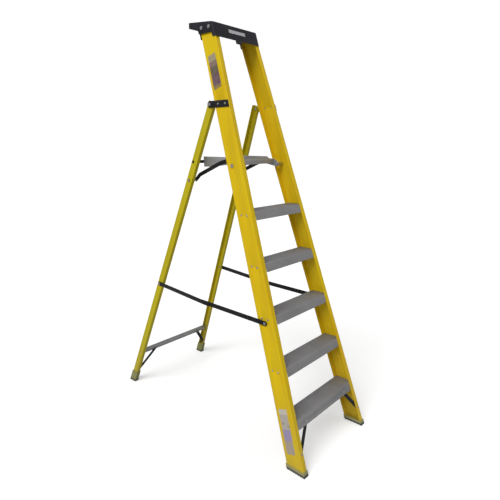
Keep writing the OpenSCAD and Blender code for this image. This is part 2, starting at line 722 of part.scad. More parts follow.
// Diagonal braces from the rail's front wall to the rear legs' front flanges
module rear_brace(side) {
    color([0.1, 0.1, 0.11]) difference() {
        on_rear_plane(side, [0, 0], rail_d / 2 + seat_gap) rotate([90, 0, 90]) linear_extrude(brace_t)
            polygon(bar_outline([rear_brace_foot, rear_brace_top], brace_w, true));
        rear_brace_place(side) rivet_hole();
        rail_brace_place(side) rivet_hole();
    }
}
module rear_brace_rivets() {
    color([0.7, 0.7, 0.7]) for (side = [-1, 1]) {
        rear_brace_place(side) translate([seat_gap, 0, 0]) rivet(leg_t + brace_t + 3 * seat_gap);
        rail_brace_place(side) translate([seat_gap, 0, 0]) rivet(rail_t + brace_t + 3 * seat_gap);
    }
}
module cross_tube() {
    half = leg_half(tube_z + tube_r) - leg_t - end_gap;
    reach = leg_half(tube_z);
    color([0.12, 0.12, 0.13]) union() {
        placed() translate([0, tube_p[0], tube_p[1]]) {
            bar_x(tube_r, -half, half);
            bar_x(tube_pin_r, -reach - 1.5, reach + 1.5);
            for (side = [-1, 1]) to_side(side) bar_x(tube_pin_r + 2, reach + 1.2, reach + 3);
        }
    }
}

// ---- link arms between the rear legs and the platform ----
link_t = 3;
link_bolt_r = 4;
platform_half = stile_half(0, 0)
    - (up_stile(platform_pivot[0], platform_pivot[1]) + deck_d + 40) * tan(stile_slope)
    - stile_flange - 2.5;
link_x = platform_half + 1.5;
link_top = platform_pivot + [link_reach, 9];
link_bend = link_pivot + [-32, 28];
link_end = link_top + [-36, 9];      // the arm runs on past its upper pivot, under the deck
link_boss_r = 6;
platform_boss_r = 7;
link_head_r = 7;
link_head_h = 4;
module link_arm(side) {
    color([0.08, 0.08, 0.09]) difference() {
        placed() to_side(side) union() {
            strap([link_pivot, link_bend, link_top, link_end], link_w, link_x, link_x + link_t);
            translate([0, link_top[0], link_top[1]])
                bar_x(link_boss_r, link_x + link_t - 0.5, link_x + link_t + 2);
        }
        pivot_hole(side, link_pivot, link_bolt_r + pin_fit);
    }
}
module link_spacers() {
    for (side = [-1, 1]) color([0.72, 0.72, 0.74]) difference() {
        pivot(side, link_pivot, link_head_r + 1, link_x + link_t + run_gap,
              leg_half(link_pivot[1]) - leg_t - 1);
        pivot_hole(side, link_pivot, link_bolt_r + hole_fit);
    }
}
module link_bolts() {
    outer = leg_half(link_pivot[1]) + 1;
    color([0.72, 0.72, 0.74]) for (side = [-1, 1]) {
        pivot(side, link_pivot, link_bolt_r, link_x - 2, outer + 1);
        pivot(side, link_pivot, link_head_r, link_x - 3.2, link_x - run_gap);
        pivot(side, link_pivot, link_head_r, outer, outer + link_head_h);
    }
}

// ---- platform ----
deck_front = platform_pivot[0] + 18;
deck_back = deck_front + deck_d;
deck_half = platform_half - side_t - seat_gap;
ledge = 20;              // ledge of a side plate under the deck
ledge_t = 2.5;
back_flange = 14;        // deck's rear edge, turned down
eye_r = 13;              // side plate around its pivot
hook_half = 105;         // half the length of the strip that drops over the cross tube
hook_t = 2.5;
hook_lip = 12;
function deck_rivet_y() = [for (i = [0:3]) deck_front + 26 + i * (deck_d - 56) / 3];
module platform_rivet_places() {
    for (side = [-1, 1], y = deck_rivet_y()) placed() to_side(side)
        translate([platform_half - side_t - 11, y, deck_z]) children();
}
module platform_deck() {
    lip = deck_t;
    color([0.55, 0.55, 0.57]) difference() {
        placed() side_extrude(-deck_half, deck_half) polygon(concat(
            [[deck_front, deck_z - deck_nosing], [deck_front, deck_z - 3], [deck_front + 3, deck_z]],
            rib_points(deck_front + 6, deck_back - 4, deck_z),
            [[deck_back, deck_z], [deck_back, deck_z - back_flange],
             [deck_back - lip, deck_z - back_flange],
             [deck_back - lip, deck_z - deck_t], [deck_front + lip, deck_z - deck_t],
             [deck_front + lip, deck_z - deck_nosing]]));
        platform_rivet_places() cylinder(r = rivet_r + hole_fit, h = 20, center = true);
    }
}
module platform_side(side) {
    x1 = platform_half;
    p = platform_pivot;
    color([0.55, 0.55, 0.57]) difference() {
        placed() to_side(side) union() {
            side_extrude(x1 - side_t, x1) {
                polygon([
                    [p[0] + 2, p[1] - eye_r], [deck_front + 58, deck_z - 26],
                    [deck_back - 60, deck_z - side_depth],
                    [deck_back, deck_z - side_depth - 2], [deck_back + 3, deck_z + side_lip],
                    [deck_front + 50, deck_z + side_lip], [deck_front + 36, deck_z],
                    [deck_front, deck_z], [p[0] - 8, p[1] + 10]]);
                translate(p) circle(r = eye_r);
            }
            translate([x1 - side_t - ledge, deck_front + 8, deck_z - deck_t - seat_gap - ledge_t])
                cube([ledge + 1, deck_d - 24, ledge_t]);
            // boss that faces the link arm
            translate([0, link_top[0], link_top[1]]) bar_x(platform_boss_r, x1 - 1, link_x - run_gap);
        }
        pivot_hole(side, p, platform_pin_r + pin_fit);
        platform_rivet_places() cylinder(r = rivet_r + hole_fit, h = 20, center = true);
    }
}
// Strip at the back that drops over the rear frame's cross tube
module platform_hook() {
    over = tube_p[1] + tube_r + run_gap;
    back = tube_p[0] + tube_r + 1.5;
    t = hook_t;
    lip = hook_lip;
    color([0.5, 0.5, 0.52]) placed() side_extrude(-hook_half, hook_half) polygon([
        [deck_back + seat_gap, deck_z - 1], [deck_back + seat_gap, over],
        [back, over], [back, over - lip], [back + t, over - lip],
        [back + t, over + t], [deck_back + seat_gap + t, over + t],
        [deck_back + seat_gap + t, deck_z - 1]]);
}
module platform_rivets() {
    stack = deck_t + seat_gap + ledge_t;
    color([0.72, 0.72, 0.72]) {
        platform_rivet_places() {
            translate([0, 0, -stack - 1]) cylinder(r = rivet_r, h = stack + rib_h + 2);
            translate([0, 0, rib_h + seat_gap]) cylinder(r = rivet_head, h = 1.2);
            translate([0, 0, -stack - seat_gap - 1.5]) cylinder(r = rivet_head * 0.8, h = 1.5);
        }
    }
}
module platform_pins() {
    p = platform_pivot;
    head_r = platform_pin_r + 4;
    outer = stile_half(p[0], p[1]) + 0.9;
    color([0.72, 0.72, 0.74]) for (side = [-1, 1]) {
        pivot(side, p, platform_pin_r, platform_half - side_t - 4, outer + 1);
        pivot(side, p, head_r, outer, outer + 3);
        pivot(side, p, head_r, platform_half - side_t - 5, platform_half - side_t - run_gap);
    }
}
module platform_spacers() {
    p = platform_pivot;
    color([0.2, 0.2, 0.21]) for (side = [-1, 1]) difference() {
        pivot(side, p, 9, platform_half + run_gap, stile_half(p[0], p[1]) - stile_t - 1);
        pivot_hole(side, p, platform_pin_r + hole_fit);
    }
}

// ---- spreaders ----
rear_bar_x = max(leg_half(spreader_rear_pivot[1]) + 3,
                 stile_half(spreader_front_pivot[0], spreader_front_pivot[1]) + spreader_t + run_gap + 3);
front_bar_x = rear_bar_x - spreader_t - run_gap;
mid_head_r = 6;          // rivet heads at the middle pivot
mid_tail_front = 14;     // how far each half runs on past the middle pivot
mid_tail_rear = 30;
stud_head_r = 7;
spreader_run = spreader_rear_pivot - spreader_front_pivot;
spreader_dir = spreader_run / norm(spreader_run);
spreader_mid = spreader_front_pivot + spreader_dir * spreader_front
    + spreader_sag * [spreader_dir[1], -spreader_dir[0]];
module spreader_front_half(side) {
    tail = spreader_mid + spreader_dir * mid_tail_front;
    x0 = front_bar_x;
    color([0.08, 0.08, 0.09]) difference() {
        placed() to_side(side) union() {
            strap([spreader_front_pivot, spreader_mid, tail], spreader_w, x0, x0 + spreader_t);
            translate([0, spreader_mid[0], spreader_mid[1]]) bar_x(mid_head_r, x0 - 2, x0 + 0.5);
        }
        pivot_hole(side, spreader_front_pivot, stud_r + pin_fit);
    }
}
module spreader_rear_half(side) {
    tail = spreader_mid - spreader_dir * mid_tail_rear;
    x0 = rear_bar_x;
    x1 = rear_bar_x + spreader_t;
    color([0.08, 0.08, 0.09]) difference() {
        placed() to_side(side) union() {
            strap([spreader_rear_pivot, spreader_mid, tail], spreader_w, x0, x1);
            translate([0, spreader_mid[0], spreader_mid[1]]) bar_x(mid_head_r + 1, x1 - 0.5, x1 + 2);
        }
        pivot_hole(side, spreader_rear_pivot, stud_r + pin_fit);
    }
}
// Stud with a head, a spacer behind the bar and a tail inside the wall
module stud(side, p, face, wall, bar_from) {
    pivot(side, p, stud_r, face - wall - 2, bar_from + spreader_t + 1.5);
    pivot(side, p, stud_head_r, bar_from + spreader_t + run_gap, bar_from + spreader_t + 2.5);
    pivot(side, p, stud_head_r, face + 0.9, bar_from - run_gap);
    pivot(side, p, stud_head_r - 1, face - wall - 3.4, face - wall - 0.9);
}
module spreader_studs_front() {
    p = spreader_front_pivot;
    color([0.6, 0.6, 0.6]) for (side = [-1, 1]) stud(side, p, stile_half(p[0], p[1]), stile_t, front_bar_x);
}
module spreader_studs_rear() {
    p = spreader_rear_pivot;
    color([0.6, 0.6, 0.6]) for (side = [-1, 1]) stud(side, p, leg_half(p[1]), leg_t, rear_bar_x);
}

stile(-1);  // stile_left
stile(1);  // stile_right
for (k = TREADS) tread(k);
tread_brackets(-1);  // tread_brackets_left
tread_brackets(1);  // tread_brackets_right
tread_rivets(-1);  // tread_rivets_left
tread_rivets(1);  // tread_rivets_right
bottom_brace(-1);  // bottom_brace_left
bottom_brace(1);  // bottom_brace_right
bottom_brace_rivets();
top_cap();
cap_badge();
cap_screws();
hinge_bracket(-1);  // hinge_bracket_left
hinge_bracket(1);  // hinge_bracket_right
hinge_rivets();
hinge_bolts();
hinge_washers();
spreader_studs_front();
platform_pins();
platform_spacers();
foot_front(-1);  // foot_front_left
foot_front(1);  // foot_front_right
label_upper();
label_lower();
rear_leg(-1);  // rear_leg_left
rear_leg(1);  // rear_leg_right
rear_rail();
rear_brace(-1);  // rear_brace_left
rear_brace(1);  // rear_brace_right
rear_brace_rivets();
rear_rail_rivets();
cross_tube();
foot_rear(-1);  // foot_rear_left
foot_rear(1);  // foot_rear_right
foot_rear_rivets();
link_spacers();
link_bolts();
spreader_studs_rear();
platform_deck();
platform_side(-1);  // platform_side_left
platform_side(1);  // platform_side_right
platform_hook();
platform_rivets();
link_arm(-1);  // link_arm_left
link_arm(1);  // link_arm_right
spreader_front_half(-1);  // spreader_front_left
spreader_front_half(1);  // spreader_front_right
spreader_rear_half(-1);  // spreader_rear_left
spreader_rear_half(1);  // spreader_rear_right
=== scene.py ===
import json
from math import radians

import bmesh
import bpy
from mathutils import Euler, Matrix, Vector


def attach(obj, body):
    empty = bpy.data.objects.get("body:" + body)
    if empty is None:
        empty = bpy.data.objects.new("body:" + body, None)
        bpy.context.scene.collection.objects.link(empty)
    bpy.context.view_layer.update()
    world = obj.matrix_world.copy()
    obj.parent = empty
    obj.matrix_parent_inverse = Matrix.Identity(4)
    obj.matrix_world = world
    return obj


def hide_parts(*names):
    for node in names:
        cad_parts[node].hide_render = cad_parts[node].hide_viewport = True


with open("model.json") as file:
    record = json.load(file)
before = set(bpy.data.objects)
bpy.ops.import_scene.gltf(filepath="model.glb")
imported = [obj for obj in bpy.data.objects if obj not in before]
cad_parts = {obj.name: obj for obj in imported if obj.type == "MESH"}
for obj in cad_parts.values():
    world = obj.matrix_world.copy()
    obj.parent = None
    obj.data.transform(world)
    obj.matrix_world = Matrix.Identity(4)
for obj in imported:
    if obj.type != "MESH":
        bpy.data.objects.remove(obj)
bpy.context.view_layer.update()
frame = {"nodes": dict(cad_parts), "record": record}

# %% [markdown]
# # A folding platform step ladder
# The ladder arrives as fifty-four separate parts, already in their places and already able to
# fold. This lesson gives them the surfaces that such a ladder has: pultruded fibreglass stiles,
# extruded aluminium treads, powder coated steel links, a moulded cap and rubber feet. Every part
# keeps its place. Where a part is copied, the copy is only made softer at its edges.

# %% [markdown]
# ## Where we stand
# The camera comes first, because every later choice is judged through it. A standing person
# looks at the ladder from its front left corner, from about one and a half metres up and a
# little down. A `to_track_quat` turn would be enough for a level camera. Building the turn from
# azimuth, pitch and roll keeps the three numbers apart, so that each can be corrected alone.

# %% Camera
CAMERA_AT = Vector((-1.7546, -1.6499, 1.4822))
CAMERA_AZIMUTH = 48.37      # towards +X, measured from +Y
CAMERA_PITCH = 13.245       # down
CAMERA_ROLL = 0.22
LENS = 32.24                # millimetres

SENSOR_WIDTH = 36
FAR_CLIP = 200              # metres, past the edge of the floor

camera_data = bpy.data.cameras.new("camera")
camera_data.lens = LENS
camera_data.sensor_width = SENSOR_WIDTH
camera_data.clip_end = FAR_CLIP
camera = bpy.data.objects.new("camera", camera_data)
camera.location = CAMERA_AT
turn = Matrix.Rotation(radians(-CAMERA_AZIMUTH), 4, "Z") @ Matrix.Rotation(
    radians(90 - CAMERA_PITCH), 4, "X") @ Matrix.Rotation(radians(CAMERA_ROLL), 4, "Z")
camera.rotation_euler = turn.to_euler()
bpy.context.scene.collection.objects.link(camera)
bpy.context.scene.camera = camera
print("camera looks along", turn.to_3x3() @ Vector((0, 0, -1)))

# %% [markdown]
# ## Floor and light
# A studio floor for a catalogue picture is a sheet of pale paper under very large lights. A
# plane could end inside the picture, so the floor is a disc far wider than the view. Area lamps
# would fade with distance and leave a grey horizon, so the two lamps here are suns, made soft by
# a wide angle. A Light Path node tells the world and the paper whether the camera is looking:
# the camera sees them near white, while the ladder gets less light back from them, so that its
# shaded sides keep their depth.

# %% Floor
PAPER_GLOW = (0.0, 0.30)    # each pair is what the ladder gets, then what the camera sees
PAPER_TONE = (0.50, 0.97)
SKY_GLOW = (0.36, 1.02)
FLOOR_RADIUS = 60
FLOOR_SIDES = 64


def seen_and_lit(tree, lit, seen):
    """A brightness that is `seen` to the camera and `lit` to everything else."""
    looking = tree.nodes.new("ShaderNodeLightPath").outputs["Is Camera Ray"]
    step = tree.nodes.new("ShaderNodeMapRange")
    step.inputs["To Min"].default_value = lit
    step.inputs["To Max"].default_value = seen
    tree.links.new(looking, step.inputs["Value"])
    return step.outputs["Result"]


paper = bpy.data.materials.new("studio_paper")
paper.use_nodes = True
paper_shader = paper.node_tree.nodes["Principled BSDF"]
paper_shader.inputs["Roughness"].default_value = 0.9
paper_shader.inputs["Specular IOR Level"].default_value = 0.1
paper_shader.inputs["Emission Color"].default_value = (1, 1, 1, 1)
paper_glow = seen_and_lit(paper.node_tree, *PAPER_GLOW)
paper_tone = seen_and_lit(paper.node_tree, *PAPER_TONE)
paper.node_tree.links.new(paper_glow, paper_shader.inputs["Emission Strength"])
paper.node_tree.links.new(paper_tone, paper_shader.inputs["Base Color"])

bm = bmesh.new()
bmesh.ops.create_circle(bm, cap_ends=True, segments=FLOOR_SIDES, radius=FLOOR_RADIUS)
floor_mesh = bpy.data.meshes.new("studio_floor")
bm.to_mesh(floor_mesh)
bm.free()
floor = bpy.data.objects.new("studio_floor", floor_mesh)
floor_mesh.materials.append(paper)
bpy.context.scene.collection.objects.link(floor)
print("floor:", FLOOR_RADIUS, "m in radius, of", FLOOR_SIDES, "sides")

# %% [markdown]
# The key light comes from high on the left and a weak fill from the other side, so that the near
# stile is the brightest thing and the insides of the channels fall into shade.

# %% Lamps and world
def soft_sun(name, from_direction, strength, spread):
    data = bpy.data.lights.new(name, "SUN")
    data.energy = strength
    data.angle = radians(spread)
    sun = bpy.data.objects.new(name, data)
    sun.rotation_euler = (-Vector(from_direction)).to_track_quat("-Z", "Y").to_euler()
    bpy.context.scene.collection.objects.link(sun)


soft_sun("key_light", from_direction=(-0.80, -0.10, 0.85), strength=1.75, spread=40)
soft_sun("fill_light", from_direction=(0.55, -0.60, 0.70), strength=0.22, spread=60)

world = bpy.data.worlds.new("studio")
bpy.context.scene.world = world
world.use_nodes = True
background = world.node_tree.nodes["Background"]
background.inputs["Color"].default_value = (1, 1, 1, 1)
world.node_tree.links.new(seen_and_lit(world.node_tree, *SKY_GLOW), background.inputs["Strength"])
bpy.context.scene.view_settings.view_transform = "Standard"

# %% [markdown]
# ## Small helpers for materials
# A material is a tree of nodes. Writing each node and each link by hand hides the idea behind
# the typing, so `put` adds one node and connects or sets its sockets in the same call. `effect`
# starts a node group, which is how Blender lets several materials share one effect.

# %% Node helpers
def put(tree, kind, sockets=None, **settings):
    node = tree.nodes.new(kind)
    for key, value in settings.items():
        setattr(node, key, value)
    for key, value in (sockets or {}).items():
        if isinstance(value, bpy.types.NodeSocket):
            tree.links.new(value, node.inputs[key])
        else:
            node.inputs[key].default_value = value
    return node


SOCKETS = {"value": "NodeSocketFloat", "colour": "NodeSocketColor", "vector": "NodeSocketVector"}


def effect(name, inputs, outputs):
    tree = bpy.data.node_groups.new(name, "ShaderNodeTree")
    for label, kind, value in inputs:
        socket = tree.interface.new_socket(name=label, in_out="INPUT", socket_type=SOCKETS[kind])
        if value is not None:
            socket.default_value = value
    for label, kind in outputs:
        tree.interface.new_socket(name=label, in_out="OUTPUT", socket_type=SOCKETS[kind])
    return tree, put(tree, "NodeGroupInput").outputs, put(tree, "NodeGroupOutput")


def use(tree, group, **sockets):
    """One use of an effect; its only output is the mask or the height."""
    return put(tree, "ShaderNodeGroup", sockets, node_tree=group).outputs[0]


print("kinds of socket:", sorted(SOCKETS))


# %% [markdown]
# ## Effects shared by several finishes
# Five things happen to the surfaces of a working ladder. Colour drifts slowly over a long
# part. Anything pulled through a die has fine lines along its length. Moulded and coated parts
# have an even grain. Shoes, tools and walls leave scuffs, and dust gathers near the floor. Each
# effect is one group that puts out a mask or a height, and each finish decides what to do with it.
#
# The first is a large soft noise. A plain colour would look like plastic sheet.

# %% Slow drift of colour
drift_tree, drift_in, drift_out = effect(
    "slow drift", [("Vector", "vector", None), ("Scale", "value", 3.0)], [("Mask", "value")])
drift_noise = put(drift_tree, "ShaderNodeTexNoise", {
    "Vector": drift_in["Vector"], "Scale": drift_in["Scale"], "Detail": 4.0, "Roughness": 0.55})
drift_range = put(drift_tree, "ShaderNodeMapRange", {
    "Value": drift_noise.outputs["Fac"], "From Min": 0.35, "From Max": 0.65})
drift_tree.links.new(drift_range.outputs["Result"], drift_out.inputs["Mask"])
print("made", drift_tree.name)

# %% [markdown]
# Die lines are a noise whose coordinates are stretched, so that its spots become long streaks.
# A wave texture would repeat too evenly.

# %% Lines along a drawn or pultruded part
lines_tree, lines_in, lines_out = effect(
    "die lines",
    [("Vector", "vector", None), ("Stretch", "vector", (400.0, 400.0, 3.0)), ("Sharpness", "value", 0.15)],
    [("Mask", "value")])
lines_vector = put(lines_tree, "ShaderNodeVectorMath", {0: lines_in["Vector"], 1: lines_in["Stretch"]},
                   operation="MULTIPLY")
lines_noise = put(lines_tree, "ShaderNodeTexNoise", {
    "Vector": lines_vector.outputs["Vector"], "Scale": 1.0, "Detail": 3.0, "Roughness": 0.6})
lines_low = put(lines_tree, "ShaderNodeMath", {0: 0.5, 1: lines_in["Sharpness"]}, operation="SUBTRACT")
lines_high = put(lines_tree, "ShaderNodeMath", {0: 0.5, 1: lines_in["Sharpness"]}, operation="ADD")
lines_range = put(lines_tree, "ShaderNodeMapRange", {
    "Value": lines_noise.outputs["Fac"], "From Min": lines_low.outputs[0],
    "From Max": lines_high.outputs[0]})
lines_tree.links.new(lines_range.outputs["Result"], lines_out.inputs["Mask"])
print("made", lines_tree.name)

# %% [markdown]
# The grain of a mould is cells broken up by a little noise. It is far too fine to model, so it is
# only a height for the Bump node.

# %% Even grain of moulded and coated parts
grain_tree, grain_in, grain_out = effect(
    "even grain", [("Vector", "vector", None), ("Scale", "value", 900.0)], [("Height", "value")])
grain_cells = put(grain_tree, "ShaderNodeTexVoronoi", {
    "Vector": grain_in["Vector"], "Scale": grain_in["Scale"], "Randomness": 1.0})
grain_noise = put(grain_tree, "ShaderNodeTexNoise", {
    "Vector": grain_in["Vector"], "Scale": grain_in["Scale"], "Detail": 2.0})
grain_mix = put(grain_tree, "ShaderNodeMath", {
    0: grain_cells.outputs["Distance"], 1: grain_noise.outputs["Fac"]}, operation="MULTIPLY")
grain_tree.links.new(grain_mix.outputs[0], grain_out.inputs["Height"])
print("made", grain_tree.name)

# %% [markdown]
# Scuffs are streaks in two directions, kept only in the patches where a third noise is strong.
# `Amount` lowers the threshold, so that more of them show.

# %% Scuffs from shoes, walls and tools
scuff_tree, scuff_in, scuff_out = effect(
    "scuffs",
    [("Vector", "vector", None), ("Amount", "value", 0.35)],
    [("Mask", "value")])
MOST_RUBBED = 0.22           # thresholds of the scuffs at Amount 1 and 0, and their soft edge
LEAST_RUBBED = 0.62
SCUFF_BLUR = 0.06
scuff_marks = []
for turned, stretch in ((0.5, (9, 60, 160)), (-0.8, (50, 12, 190))):
    scuff_turn = put(scuff_tree, "ShaderNodeMapping", {
        "Vector": scuff_in["Vector"], "Rotation": (turned, turned * 0.6, 0.3)})
    scuff_long = put(scuff_tree, "ShaderNodeMapping", {
        "Vector": scuff_turn.outputs["Vector"], "Scale": stretch})
    scuff_noise = put(scuff_tree, "ShaderNodeTexNoise", {
        "Vector": scuff_long.outputs["Vector"], "Scale": 1.0, "Detail": 2.0})
    scuff_marks.append(scuff_noise.outputs["Fac"])
scuff_both = put(scuff_tree, "ShaderNodeMath", {0: scuff_marks[0], 1: scuff_marks[1]}, operation="MAXIMUM")
scuff_where = put(scuff_tree, "ShaderNodeTexNoise", {
    "Vector": scuff_in["Vector"], "Scale": 11.0, "Detail": 3.0})
scuff_sum = put(scuff_tree, "ShaderNodeMath", {
    0: scuff_both.outputs[0], 1: scuff_where.outputs["Fac"]}, operation="MULTIPLY")
scuff_from = put(scuff_tree, "ShaderNodeMapRange", {
    "Value": scuff_in["Amount"], "To Min": LEAST_RUBBED, "To Max": MOST_RUBBED})
scuff_to = put(scuff_tree, "ShaderNodeMath", {
    0: scuff_from.outputs["Result"], 1: SCUFF_BLUR}, operation="ADD")
scuff_range = put(scuff_tree, "ShaderNodeMapRange", {
    "Value": scuff_sum.outputs[0], "From Min": scuff_from.outputs["Result"],
    "From Max": scuff_to.outputs[0]})
scuff_tree.links.new(scuff_range.outputs["Result"], scuff_out.inputs["Mask"])
print("made", scuff_tree.name)

# %% [markdown]
# Dust is thickest at the floor and thins out up to the height `Top`, with noise to break it up.

# %% Dust that gathers low on the ladder
dust_tree, dust_in, dust_out = effect(
    "floor dust", [("Vector", "vector", None), ("Top", "value", 0.35)], [("Mask", "value")])
dust_split = put(dust_tree, "ShaderNodeSeparateXYZ", {"Vector": dust_in["Vector"]})
dust_low = put(dust_tree, "ShaderNodeMapRange", {
    "Value": dust_split.outputs["Z"], "From Min": dust_in["Top"], "From Max": 0.0})
dust_noise = put(dust_tree, "ShaderNodeTexNoise", {"Vector": dust_in["Vector"], "Scale": 45.0, "Detail": 5.0})
dust_mask = put(dust_tree, "ShaderNodeMath", {
    0: dust_low.outputs["Result"], 1: dust_noise.outputs["Fac"]}, operation="MULTIPLY")
dust_tree.links.new(dust_mask.outputs[0], dust_out.inputs["Mask"])
print("effects:", [g.name for g in bpy.data.node_groups])

# %% [markdown]
# ## Finishes
# Each finish is a Principled shader whose colour, roughness and bump come from the effects
# above. Values that are the same all over, such as the specular level, are set on the shader
# itself. All patterns read Object coordinates, which for these parts are real metres, so a
# grain of half a millimetre is half a millimetre on every part.

# %% Helpers for finishes
FINISHES = {}


def finish_tree(slot):
    material = bpy.data.materials.new(slot)
    material.use_nodes = True
    tree = material.node_tree
    shader = tree.nodes["Principled BSDF"]
    place = put(tree, "ShaderNodeTexCoord").outputs["Object"]
    FINISHES[slot] = material
    return tree, shader, place


def mix(tree, mask, first, second):
    """Colour that goes from first to second as the mask goes from 0 to 1."""
    node = put(tree, "ShaderNodeMix", None, data_type="RGBA")
    for index, value in ((6, first), (7, second)):
        if isinstance(value, bpy.types.NodeSocket):
            tree.links.new(value, node.inputs[index])
        else:
            node.inputs[index].default_value = (*value, 1)
    tree.links.new(mask, node.inputs["Factor"])
    return node.outputs[2]


def between(tree, mask, low, high):
    """A number that goes from low to high as the mask goes from 0 to 1."""
    return put(tree, "ShaderNodeMapRange", {"Value": mask, "To Min": low, "To Max": high}).outputs["Result"]


def bump(tree, height, depth, normal=None):
    """Small relief of a real depth in metres."""
    sockets = {"Height": height, "Distance": depth, "Strength": 1.0}
    if normal is not None:
        sockets["Normal"] = normal
    return put(tree, "ShaderNodeBump", sockets).outputs["Normal"]


def times(tree, mask, factor):
    return put(tree, "ShaderNodeMath", {0: mask, 1: factor}, operation="MULTIPLY").outputs[0]


def leaned(tree, place, lean):
    """Object coordinates turned upright along a part that leans by so many degrees."""
    return put(tree, "ShaderNodeMapping", {
        "Vector": place, "Rotation": (radians(lean), 0, 0)}).outputs["Vector"]


def above(tree, place, height, blur):
    """0 below a height above the floor, and 1 over it."""
    z = put(tree, "ShaderNodeSeparateXYZ", {"Vector": place}).outputs["Z"]
    return put(tree, "ShaderNodeMapRange", {
        "Value": z, "From Min": height - blur, "From Max": height + blur}).outputs["Result"]


# %% [markdown]
# ### Yellow fibreglass
# Stiles and rear legs are pultruded: glass strands and yellow resin are pulled through a hot
# die. The skin is smooth and half glossy, with the strands faintly visible along its length.
# The pattern is turned by the lean of the part, so that the strands run along it.

# %% Fibreglass
FRONT_LEAN = 18.7           # degrees from upright
REAR_LEAN = 20.9
RESIN_GLOSS = 0.14
GREY_SCUFF = (0.42, 0.36, 0.16)
FLOOR_DIRT = (0.33, 0.29, 0.18)


def fibreglass(slot, lean, bright, deep, rubbed):
    tree, shader, place = finish_tree(slot)
    along = leaned(tree, place, lean)
    strands = use(tree, lines_tree, Vector=along, Stretch=(520.0, 520.0, 4.0), Sharpness=0.22)
    bands = use(tree, lines_tree, Vector=along, Stretch=(70.0, 70.0, 1.2), Sharpness=0.3)
    tone = use(tree, drift_tree, Vector=place, Scale=2.2)
    scuffed = use(tree, scuff_tree, Vector=along, Amount=0.3)
    dusty = use(tree, dust_tree, Vector=place, Top=0.4)
    colour = mix(tree, tone, bright, deep)
    colour = mix(tree, times(tree, strands, 0.22), colour, rubbed)
    colour = mix(tree, times(tree, bands, 0.16), colour, deep)
    colour = mix(tree, times(tree, scuffed, 0.5), colour, GREY_SCUFF)
    colour = mix(tree, times(tree, dusty, 0.35), colour, FLOOR_DIRT)
    tree.links.new(colour, shader.inputs["Base Color"])
    rough = between(tree, strands, 0.30, 0.44)
    rough = put(tree, "ShaderNodeMath", {0: rough, 1: times(tree, scuffed, 0.25)}, operation="ADD").outputs[0]
    tree.links.new(rough, shader.inputs["Roughness"])
    tree.links.new(bump(tree, strands, 0.00006, bump(tree, bands, 0.0002)), shader.inputs["Normal"])
    shader.inputs["Specular IOR Level"].default_value = RESIN_GLOSS


fibreglass("stile_yellow", FRONT_LEAN, (0.86, 0.62, 0.004), (0.78, 0.50, 0.003), (0.92, 0.70, 0.05))
fibreglass("leg_yellow", -REAR_LEAN, (0.62, 0.53, 0.008), (0.54, 0.43, 0.006), (0.68, 0.60, 0.06))
print("strands run", FRONT_LEAN, "and", REAR_LEAN, "degrees from upright")

# %% [markdown]
# ### Aluminium
# Treads, platform and rail are extruded or pressed aluminium that has gone dull. Lines run the
# way the metal came out of the die, which is across the ladder. Shoes leave scattered rubbed
# patches, lighter and a little smoother than the rest.

# %% Aluminium
def aluminium(slot, colour_a, colour_b, worn, rough, metal, stretch=(3.0, 500.0, 500.0), scuff=0.4):
    tree, shader, place = finish_tree(slot)
    lines = use(tree, lines_tree, Vector=place, Stretch=stretch, Sharpness=0.2)
    tone = use(tree, drift_tree, Vector=place, Scale=9.0)
    scuffed = use(tree, scuff_tree, Vector=place, Amount=scuff)
    specks = use(tree, grain_tree, Vector=place, Scale=1400.0)
    colour = mix(tree, tone, colour_a, colour_b)
    colour = mix(tree, times(tree, lines, 0.3), colour, worn)
    colour = mix(tree, times(tree, scuffed, 0.6), colour, worn)
    tree.links.new(colour, shader.inputs["Base Color"])
    shader.inputs["Metallic"].default_value = metal
    shine = put(tree, "ShaderNodeMath", {0: between(tree, lines, rough, rough + 0.12),
                                         1: times(tree, scuffed, 0.12)}, operation="SUBTRACT").outputs[0]
    tree.links.new(shine, shader.inputs["Roughness"])
    tree.links.new(bump(tree, lines, 0.00005, bump(tree, specks, 0.00008)), shader.inputs["Normal"])


aluminium("tread_aluminium", (0.33, 0.325, 0.33), (0.27, 0.265, 0.272), (0.44, 0.435, 0.44), 0.50, 0.45)
aluminium("platform_aluminium", (0.44, 0.438, 0.445), (0.36, 0.358, 0.365), (0.56, 0.555, 0.56), 0.42, 0.55)
aluminium("mill_aluminium", (0.42, 0.42, 0.43), (0.33, 0.33, 0.335), (0.52, 0.52, 0.53), 0.36, 0.85)
aluminium("rivet_aluminium", (0.62, 0.61, 0.60), (0.50, 0.49, 0.48), (0.70, 0.69, 0.68), 0.3, 0.95,
          stretch=(300.0, 300.0, 300.0), scuff=0.2)
aluminium("zinc_steel", (0.56, 0.56, 0.58), (0.46, 0.46, 0.47), (0.66, 0.66, 0.67), 0.28, 0.95,
          stretch=(600.0, 40.0, 40.0), scuff=0.2)
print("metals:", sorted(n for n in FINISHES if "yellow" not in n))

# %% [markdown]
# ### Black coated, moulded and rubber parts
# Powder coating has a soft orange-peel surface. Moulded parts carry the even grain of a
# spark-eroded mould. Rubber is duller and picks up dust near the floor, and the feet are moulded
# in two rubbers, with a darker one underneath. They differ only in colour, gloss and the size of
# the grain, so one helper makes them all.

# %% Coated, moulded and rubber finishes
SOLE_BLUR = 0.001


